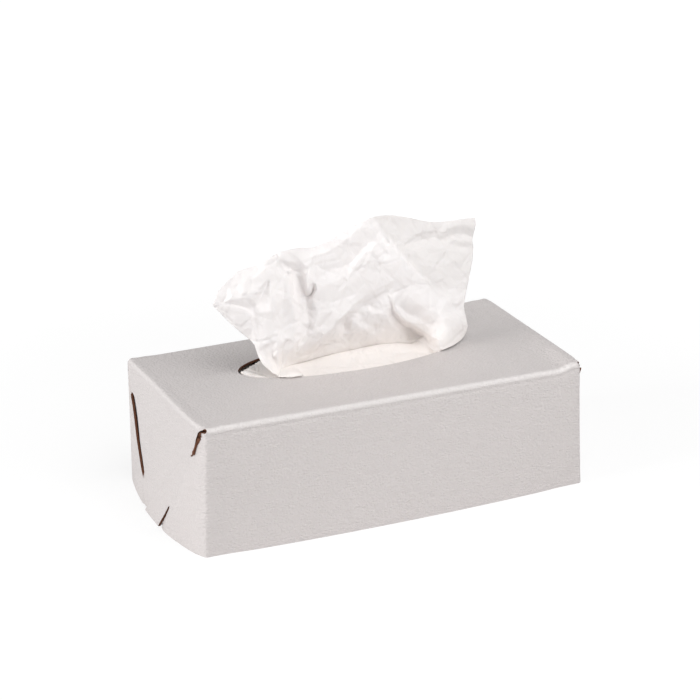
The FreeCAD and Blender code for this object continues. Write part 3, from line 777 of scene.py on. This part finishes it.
folds = [  # x, z, height towards the viewer, along each line of the crumpled sheet
    # the left lobe
    [(-78, 131.5, 1.3), (-70, 132, 2.0), (-60, 134, 2.0), (-51.5, 142, 0.8)],
    [(-85, 131.5, 0), (-76, 129, -0.8), (-68, 125.2, -1.2), (-63.2, 121.8, -1.6), (-58, 127.5, -1.8),
     (-52, 139.5, -1.0)],
    [(-84, 129.5, 0.4), (-76, 127.6, 0.7), (-68, 123.8, 0.9), (-64.6, 120.8, 1.0), (-63.2, 113, 0.9),
     (-61.2, 104, 0.6), (-60, 96, 0.2)],
    [(-61.5, 119, -0.9), (-60.8, 112, -0.6), (-59.2, 104, -0.4)],
    [(-51, 140, 0.6), (-50, 130, 1.5), (-49.5, 120, 1.4), (-50, 110, 0.9), (-52, 100, 0.5)],
    [(-47.5, 150, 0.4), (-42, 143, -0.6), (-41.6, 133, -1.4), (-43, 122, -1.0), (-43, 110, -0.4),
     (-44.5, 103, -0.6)],
    [(-38, 143, 0.4), (-38, 136, 0.8), (-38, 128, 1.2), (-35.5, 118, 1.2), (-34, 108, 1.0),
     (-36.5, 101, 1.0)],
    [(-71, 141.5, 1.3), (-60, 143.5, 1.5), (-52, 150.5, 1.0), (-47.5, 153, 0.7)],
    [(-76, 135, 1.7), (-73, 138, 0.6), (-67, 135.5, 1.9), (-64, 139, 0.8), (-58, 139, 0.9)],
    [(-45.4, 157.4, -1.6), (-45.8, 153.8, -0.8)],
    [(-43.8, 157, 0.6), (-44, 153.6, 0.9), (-38, 150.4, 1.6), (-32, 149.5, 1.9), (-25, 150.5, 1.6),
     (-18, 152.4, 1.2)],
    [(-32.4, 158.4, 0.5), (-32.2, 150.5, 1.6)],
    [(-42, 150.5, -0.6), (-36, 144.5, -2.0), (-31.6, 138, -3.4), (-29, 131, -4.0), (-26.8, 126.2, -4.4),
     (-26.2, 123, -2.6), (-26.2, 117, -1.9), (-25.2, 110.5, -1.6), (-25.4, 106, -1.6), (-28, 101, -1.5),
     (-31, 97, -1.4), (-33.6, 95.6, -1.2)],
    [(-39, 144, -1.4), (-36, 138, -2.6), (-34, 131, -3.2), (-32.5, 124.5, -2.4), (-31.5, 119, -1.6),
     (-31, 113, -1.2), (-31, 107, -0.9)],
    [(-35.2, 98.6, 1.2), (-35.4, 93, 1.1), (-36.2, 88, 0.4)],
    [(-33.9, 93, -1.6), (-34.6, 89.4, -0.8)],
    [(-36.5, 99.3, 1.1), (-41, 100, 0.9), (-44.5, 97, 0.7), (-50, 90, 0.3)],
    [(-45, 104, 0.6), (-46.8, 96, 1.3), (-46.8, 88, 1.4), (-45.4, 80.5, 0.8)],
    [(-40.5, 97, -0.9), (-43.4, 90, -1.4), (-44.6, 83, -1.0)],
    [(-34.5, 97, 0.9), (-38.5, 91.5, 1.5), (-42, 85, 1.4), (-44, 79.5, 0.8)],
    [(-50.5, 98, -0.6), (-50.2, 90, -1.2), (-47.8, 82.5, -1.0)],
    [(-56.5, 90.5, 0.6), (-52, 84.5, 0.9), (-47.5, 79.5, 0.7)],
    # the lip and the pocket under it
    [(-19.5, 151, 1.0), (-24, 145.5, 1.9), (-25.6, 139, 2.4), (-25.6, 132.5, 2.6), (-24.4, 129, 2.6)],
    [(-22.3, 134, 1.0), (-21.8, 131.5, -2.6), (-22, 128.6, -4.2), (-23.8, 126.6, -4.6)],
    [(-18.5, 146, 0.4), (-20, 139, 0.4), (-20.4, 133, 0.9), (-20, 129, 1.2), (-21.6, 125, 1.0),
     (-22, 121.5, 1.0), (-20.5, 117, 1.1), (-19.2, 113, 1.3), (-20.2, 108.5, 1.5), (-23, 101.5, 1.5),
     (-28, 95.5, 1.4), (-34, 90.6, 1.0), (-40, 86, 0.6)],
    # the main body
    [(-28, 157, -0.4), (-20, 155.6, -0.9), (-14.5, 154, -0.1)],
    [(-13, 152.8, 1.2), (-7, 155, 1.5), (-1, 158.2, 1.5), (6, 162.3, 1.3), (12, 166.5, 0.6)],
    [(-18.5, 136.5, -0.4), (-10, 141, -1.1), (-2, 141.5, -1.2), (4, 143, -1.5), (10.5, 149.7, -1.4),
     (17, 155.3, -0.5)],
    [(1, 137.5, -0.9), (-0.5, 131, -0.3)],
    [(-8, 148, 0.5), (0, 151, 0.1), (7, 156, 0.4)],
    [(12, 147.2, 0.6), (6.5, 141.3, 0.7), (3, 135, 0.7), (2, 129, 0.6)],
    [(-14, 131, 0.8), (-4, 133, 0.9)],
    [(-16, 121, 0.1), (-6, 119, -0.3), (3, 121.5, 0.2)],
    [(-15, 115, 0.8), (-6, 113, 1.0), (2, 118, 1.2), (10, 124, 1.3), (20, 130, 0.9)],
    [(17.5, 170.4, 0.4), (19.2, 164, 1.0), (20, 158.5, 0.6)],
    [(22.5, 169, -0.9), (23, 162.5, -1.2), (26, 157.5, -1.3), (29.3, 152.7, -1.2)],
    [(36, 169.6, 0.7), (33.5, 162, 0.5), (33, 157, 0.3)],
    [(28, 165, -0.2), (29, 159.5, 0.4)],
    [(21.6, 155.6, 0.1), (24, 151, -0.9), (27.5, 145.5, -0.5)],
    [(25.5, 153, 0.4), (29.5, 147, 0.7), (34, 141, 0.8)],
    [(18, 150, 0.8), (20, 142, 0.7), (18, 134, 0.5)],
    [(24, 142, 0.2), (25, 135, -0.2), (30, 131, 0.1)],
    [(30.5, 154.2, 0.7), (34, 148, 0.9), (37.6, 142.4, 1.2), (43.5, 135, 1.2), (50, 128, 1.0),
     (56, 122.3, 0.4)],
    [(32.2, 155.2, -0.6), (35.5, 149.2, -0.4), (39, 143.8, -0.2), (44.8, 136.4, -0.1), (51, 129.6, 0),
     (57, 124, 0)],
    [(41, 148.5, -0.6), (50, 150.7, -1.0), (56, 151.6, -0.9), (61, 151, -0.9), (70, 146.4, -0.6),
     (80, 142, -0.9), (88.5, 140.4, -0.9)],
    [(38, 156, 0.5), (44, 154, 0.8), (54, 156.5, 1.0), (59, 156, 0.8)],
    [(43, 144, 0.3), (52, 145.5, 0.6), (62, 145.5, 0.7), (72, 141, 0.6), (86, 136, 0.4)],
    [(66, 153, 1.0), (74, 156.8, 1.2), (82, 156.6, 1.1), (90, 153.5, 0.5)],
    [(68, 149.6, -0.7), (76, 151.6, -1.0), (84, 149.6, -1.0), (89, 147, -0.7)],
    [(76, 147.4, 0.6), (86, 144, 0.5)],
    [(60.5, 162, -0.4), (60.8, 157, -0.7), (63, 153, -0.6)],
    [(39, 168.5, 0.6), (43.5, 165.6, -0.5), (50, 164, 0.1)],
    [(57, 133, 0.6), (66, 130, 0.1), (73, 133.5, 0.6), (84, 131, 0.3)],
    [(60, 121, -0.2), (67, 115.8, -0.7), (76, 114.4, -0.6), (84, 113.5, -0.4)],
    [(60, 111, 0.9), (70, 107, 1.1), (81, 104, 0.6)],
    [(38, 118, 0.3), (45, 122, -0.2), (50, 119, 0.2)],
    # the tip of the fold on the right and the hollow below it
    [(33.2, 112.2, 2.0), (34, 107.4, 2.8), (37.8, 102, 3.0), (41.6, 98.2, 3.0), (46, 95.8, 3.0),
     (52, 91, 3.0), (58, 86, 2.4), (64, 82, 0.6)],
    [(37, 110, 1.0), (41, 104.8, 0.6), (48, 101, 0.4), (60, 92.3, 0.4), (72, 82.8, 0.2)],
    [(42, 115, 1.4), (50, 109, 2.0), (60, 102, 2.2), (70, 96, 2.0), (78, 91, 1.4)],
    [(31.4, 111, -0.2), (31.6, 107.5, -1.6), (32.2, 104, -3.2), (36, 99, -4.4), (40, 95.4, -4.6),
     (44.5, 93.2, -4.2), (49.5, 88.8, -3.8), (56, 83, -2.6)],
    [(29, 110, 1.0), (28.5, 103.5, 0.9), (32, 96, 0.2), (38, 90.5, -1.4), (45, 87.5, -2.4)],
    [(62, 85, -0.4), (70, 79.5, -0.4)],
    [(78, 85, 0.4), (83, 90, 0.2)],
    # the long ridge down to the left, the small pocket under it and the face below
    [(34, 127.5, 0.4), (28, 124.8, 0.8), (23.5, 123.8, 1.0), (17, 122, 1.2), (13.5, 120, 1.4), (8, 117, 1.6),
     (3.5, 113.3, 2.4), (0, 109.8, 2.9), (-5, 106.2, 3.1), (-10, 101.8, 2.9), (-15, 98, 2.6),
     (-22, 93.6, 2.1), (-30, 88, 1.4), (-38, 82.5, 0.6)],
    [(31, 121, -0.3), (25, 118, -0.6), (18, 115, -0.9), (12, 113, -1.0), (6.5, 109.5, -1.2),
     (2, 106.8, -1.8)],
    [(-0.6, 106.9, -2.6), (-1.6, 103.4, -4.8), (-1.2, 99, -3.2), (-3.5, 94.6, -1.2)],
    [(-5.2, 104.6, 0.9), (-4.6, 102, 0.8), (-4, 98.6, 0.6), (-7, 94.5, 0.4)],
    [(4.4, 104.5, 0.5), (3.6, 100, 0.5), (5, 95, 0.6)],
    [(15.5, 110.5, -0.2), (17, 108, 0.9), (23.5, 106.5, 1.3), (27, 109, 1.1)],
    [(17, 112.6, -1.6), (18.6, 111.4, -1.1)],
    [(7.5, 102.5, 0.9), (12, 98, 1.1), (20, 92, 1.1)],
    [(12, 102, -0.6), (20, 97.5, -0.8), (27, 95.5, -0.8)],
    [(-12, 92.5, -0.5), (-3, 90.5, -0.4), (10, 92, -0.6)],
    [(-26, 87.5, -1.0), (-16, 89.5, -1.2), (-9, 92, -0.8)],
]


def onPath(path, t):  # a place along a run of points, by length
    lengths = [math.dist(p, q) for p, q in zip(path, path[1:])]
    left = t * sum(lengths)
    for k, length in enumerate(lengths):
        if left <= length or k == len(lengths) - 1:
            return Vector(path[k]).lerp(Vector(path[k + 1]), left / length)
        left -= length


def bend(distance):  # the kernel of a thin plate
    return distance ** 2 * np.log(np.maximum(distance, 1e-6))


def plateThrough(points):  # a smooth surface close to the given heights
    places, heights = np.array(points)[:, :2], np.array(points)[:, 2]
    count = len(points)
    plane = np.hstack([np.ones((count, 1)), places])
    apart = np.linalg.norm(places[:, None] - places[None], axis=2)
    system = np.zeros((count + 3, count + 3))
    system[:count, :count] = bend(apart) + tissue["slack"] * np.eye(count)
    system[:count, count:] = plane
    system[count:, :count] = plane.T
    weights = np.linalg.solve(system, np.append(heights, [0, 0, 0]))

    def at(x, z):
        far = np.hypot(places[:, :1] - x, places[:, 1:] - z)
        return weights[:count] @ bend(far) + weights[count] + weights[count + 1] * x + weights[count + 2] * z

    return at


def foldPoints():  # the folds' points, close enough together to hold their lines
    points = []
    for line in folds:
        for start, end in zip(line, line[1:]):
            steps = max(1, round(math.dist(start[:2], end[:2]) / tissue["foldStep"]))
            points += [[p + (q - p) * k / steps for p, q in zip(start, end)] for k in range(steps)]
        points.append(list(line[-1]))
    known = np.array(points)
    dice = np.random.default_rng(7)
    step, height = tissue["dentStep"], tissue["dentHeight"]
    for x in range(-96, 102, step):  # slight dents where no fold is near
        for z in range(68, 180, step):
            spot = (x + dice.uniform(-4, 4), z + dice.uniform(-4, 4))
            dent = dice.uniform(-height, height)
            if np.hypot(known[:, 0] - spot[0], known[:, 1] - spot[1]).min() > tissue["dentRoom"]:
                points.append([*spot, dent])
    return points + [[x, z, 0] for x in (-130, 130) for z in (40, 200)]


def facets(points, x, z):  # flat facets between the points
    places = [Vector(point[:2]) for point in points]
    corners, _, faces, origins, _, _ = geometry.delaunay_2d_cdt(places, [], [], 0, 0.001)
    height = np.zeros(len(x))
    for face in faces:
        (ax, az), (bx, bz), (cx, cz) = [corners[k] for k in face]
        a, b, c = [points[origins[k][0]][2] for k in face]
        area = (bx - ax) * (cz - az) - (cx - ax) * (bz - az)
        if abs(area) < 1e-9:
            continue
        near = np.flatnonzero((x >= min(ax, bx, cx)) & (x <= max(ax, bx, cx))
                              & (z >= min(az, bz, cz)) & (z <= max(az, bz, cz)))
        second = ((x[near] - ax) * (cz - az) - (cx - ax) * (z[near] - az)) / area
        third = ((bx - ax) * (z[near] - az) - (x[near] - ax) * (bz - az)) / area
        inside = (second > -1e-6) & (third > -1e-6) & (second + third < 1 + 1e-6)
        height[near[inside]] = (a + (b - a) * second + (c - a) * third)[inside]
    return height


def crumple(x, z):  # the small creasing of the whole sheet
    value = 0
    for size, height in ((28, 0.5), (12, 0.25), (5, 0.07)):
        spot = Vector((x / size, z / size, size))
        value += height * (1 - 3 * abs(noise.noise(spot)))
    return value


def slide(x, z, y):  # the point at depth y that is seen at (x, z) of the plane
    eye = camera.matrix_world.translation / mm
    point = Vector((x, tissue["plane"], z))
    return eye + (point - eye) * ((y - eye.y) / (tissue["plane"] - eye.y))


def uprightNet():
    across, up = tissue["columns"], tissue["upright"]
    flat = []
    for j in range(up + 1):
        for i in range(across + 1):
            a, c = i / across, j / up
            low, high = onPath(baseSide, a), onPath(topSide, a)
            left, right = onPath(leftSide, c), onPath(rightSide, c)
            corners = mix(mix(Vector(baseSide[0]), Vector(baseSide[-1]), a),
                          mix(Vector(topSide[0]), Vector(topSide[-1]), a), c)
            flat.append(mix(low, high, c) + mix(left, right, a) - corners)
    x, z = np.array([p.x for p in flat]), np.array([p.y for p in flat])
    forward = np.array([crumple(*p) for p in flat])
    points = foldPoints()
    around = ((0, 0), (0.4, 0.15), (-0.15, 0.4), (-0.4, -0.15), (0.15, -0.4))
    for dx, dz in around:  # five looks at the facets round off their edges
        forward += tissue["relief"] * facets(points, x + dx, z + dz) / len(around)
    calm = easeAll(np.repeat(np.arange(up + 1) / up, across + 1) / 0.05)
    depth = broadDepth(x, z) - forward * calm
    row, share = np.divmod(np.arange(len(x)), across + 1)
    share = share / across
    sunk = tissue["sunk"] * np.exp(-row / 1.3) * easeAll(share / 0.12) * easeAll((0.86 - share) / 0.05)
    return [slide(*p) - Vector((0, 0, drop)) for *p, drop in zip(x, z, depth, sunk)]


broadDepth = plateThrough(swells)
upright = uprightNet()


def uprightPoint(a, c):
    return upright[round(c * tissue["upright"]) * (tissue["columns"] + 1) + round(a * tissue["columns"])]


def lowerPoint(a, c):  # c from 1 at the base down to 0 at the hidden end
    base = uprightPoint(a, 0)
    spread = mix(-98, 98, a)  # the hidden end lies flat at its full width
    overRim = 1 - ease((a - 0.03) / 0.12)  # the left end lies over the front rim first
    ear = 4.2 * hump(a - 0.855, 0.016) - 3.2 * hump(a - 0.893, 0.011)
    inFront = min(base.y - 2, mix(base.y, -16, 0.5))
    first = Vector((mix(base.x, spread, 0.1) + 12 * overRim, mix(inFront, -12, overRim),
                    79.2 + 3.9 * overRim))
    under = Vector((mix(base.x, spread, 0.35) + 8 * overRim, mix(-19, -6, overRim), 79.3 + 1.2 * overRim))
    lip = tissue["sunk"] * ease(a / 0.12) * ease((0.86 - a) / 0.05)
    # down behind the front rim, on between the stack and the cover's top, and back under itself
    path = [base, Vector((base.x, base.y - 1 - 0.7 * lip, base.z + 0.55 * lip)), first + Vector((0, 0, ear)),
            under, Vector((mix(base.x, spread, 0.9), -48, 78.6)), Vector((spread, -53, 77.8)),
            Vector((spread, -48, 77.0)), Vector((spread * 0.98, -20, 76.8))]
    t = (1 - c) * (len(path) - 1)
    k = min(int(t), len(path) - 2)
    q = t - k
    p0, p1, p2, p3 = path[max(k - 1, 0)], path[k], path[k + 1], path[min(k + 2, len(path) - 1)]
    point = 0.5 * ((2 * p1) + (p2 - p0) * q + (2 * p0 - 5 * p1 + 4 * p2 - p3) * q * q
                   + (3 * p1 - p0 - 3 * p2 + p3) * q ** 3)  # smoothly through all of them
    ripple = 0.35 * noise.noise(Vector((point.x / 14, point.y / 30, 4))) * ease((1 - c) * 8)
    return (point.x, point.y, point.z + ripple)


def tissuePoint(a, b):
    row = round(b * (tissue["upright"] + tissue["lower"]))
    if row < tissue["lower"]:
        return lowerPoint(a, row / tissue["lower"])
    return uprightPoint(a, (row - tissue["lower"]) / tissue["upright"])


def buildTissue():
    piece = laySheet("pulledTissue", tissue["columns"], tissue["upright"] + tissue["lower"], tissuePoint)
    soften = piece.modifiers.new("soften", "SMOOTH")
    soften.factor = 0.5
    soften.iterations = 1
    applyModifiers(piece)
    wall = piece.modifiers.new("wall", "SOLIDIFY")
    wall.thickness = tissue["thickness"] * mm
    wall.offset = 0
    applyModifiers(piece)
    piece.data.materials.append(softTissue)
    select(piece)
    bpy.ops.object.shade_smooth()
    return piece


pulledTissue = buildTissue()
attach(pulledTissue, "root")
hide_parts("pulled_tissue")
print("tissue built")


# floor, lamps and world

studio = {
    "floor": 4.0,
    "target": (0, 0, 0.06),  # what the lamps point at
    "world": 0.35,
    "sheen": 0.82,  # what shiny surfaces see of the room
    "side": {"place": (-2.1, -0.03, 0.56), "size": 0.9, "power": 30.5},
    "top": {"place": (0.15, -0.6, 1.1), "size": 0.9, "power": 9},
    "front": {"place": (1.2, -2.1, 0.3), "size": 0.9, "power": 12},
}


def floorFinish():
    finish = Finish("paleFloor")
    finish.set(Base_Color=(0.93, 0.93, 0.93), Roughness=0.9, Specular_IOR_Level=0.1)
    seen = finish.node("ShaderNodeLightPath", {}, {}, "Is Camera Ray")
    distance = finish.node("ShaderNodeVectorMath", {"operation": "LENGTH"}, {0: finish.place}, "Value")
    share = finish.spread(distance, 0.2, 0.6, 0.75, 1.0, "SMOOTHSTEP")  # the shadow keeps near the part
    glow = finish.node("ShaderNodeEmission", {}, {"Color": (1, 1, 1), "Strength": 1.05})
    both = finish.node("ShaderNodeMixShader", {}, {
        0: seen * share, 1: Wire(finish, finish.shader.outputs[0]), 2: glow})
    finish.tree.links.new(both.socket, finish.output.inputs["Surface"])
    return finish.material


def buildFloor():
    bpy.ops.object.select_all(action="DESELECT")
    bpy.ops.mesh.primitive_plane_add(size=studio["floor"])
    floor = bpy.context.object
    floor.name = "floor"
    floor.data.materials.append(floorFinish())


def lamp(name, settings):
    bpy.ops.object.light_add(type="AREA", location=settings["place"])
    made = bpy.context.object
    made.name = name
    made.data.size = settings["size"]
    made.data.energy = settings["power"]
    aim = Vector(studio["target"]) - Vector(settings["place"])
    made.rotation_euler = aim.to_track_quat("-Z", "Y").to_euler()


def buildWorld():
    world = bpy.data.worlds.new("studio")
    bpy.context.scene.world = world
    world.use_nodes = True
    nodes, links = world.node_tree.nodes, world.node_tree.links
    background = nodes["Background"]
    background.inputs["Color"].default_value = (1, 1, 1, 1)
    rays = nodes.new("ShaderNodeLightPath")
    glossy, seen = nodes.new("ShaderNodeMix"), nodes.new("ShaderNodeMix")
    for level, ray, value in ((glossy, "Is Glossy Ray", studio["sheen"]), (seen, "Is Camera Ray", 1.0)):
        level.data_type = "FLOAT"
        links.new(rays.outputs[ray], level.inputs["Factor"])
        level.inputs["B"].default_value = value
    glossy.inputs["A"].default_value = studio["world"]
    links.new(glossy.outputs["Result"], seen.inputs["A"])
    links.new(seen.outputs["Result"], background.inputs["Strength"])


buildFloor()
for name in ("side", "top", "front"):
    lamp(name + "Lamp", studio[name])
buildWorld()
bpy.context.scene.view_settings.view_transform = "Standard"
print("studio ready")
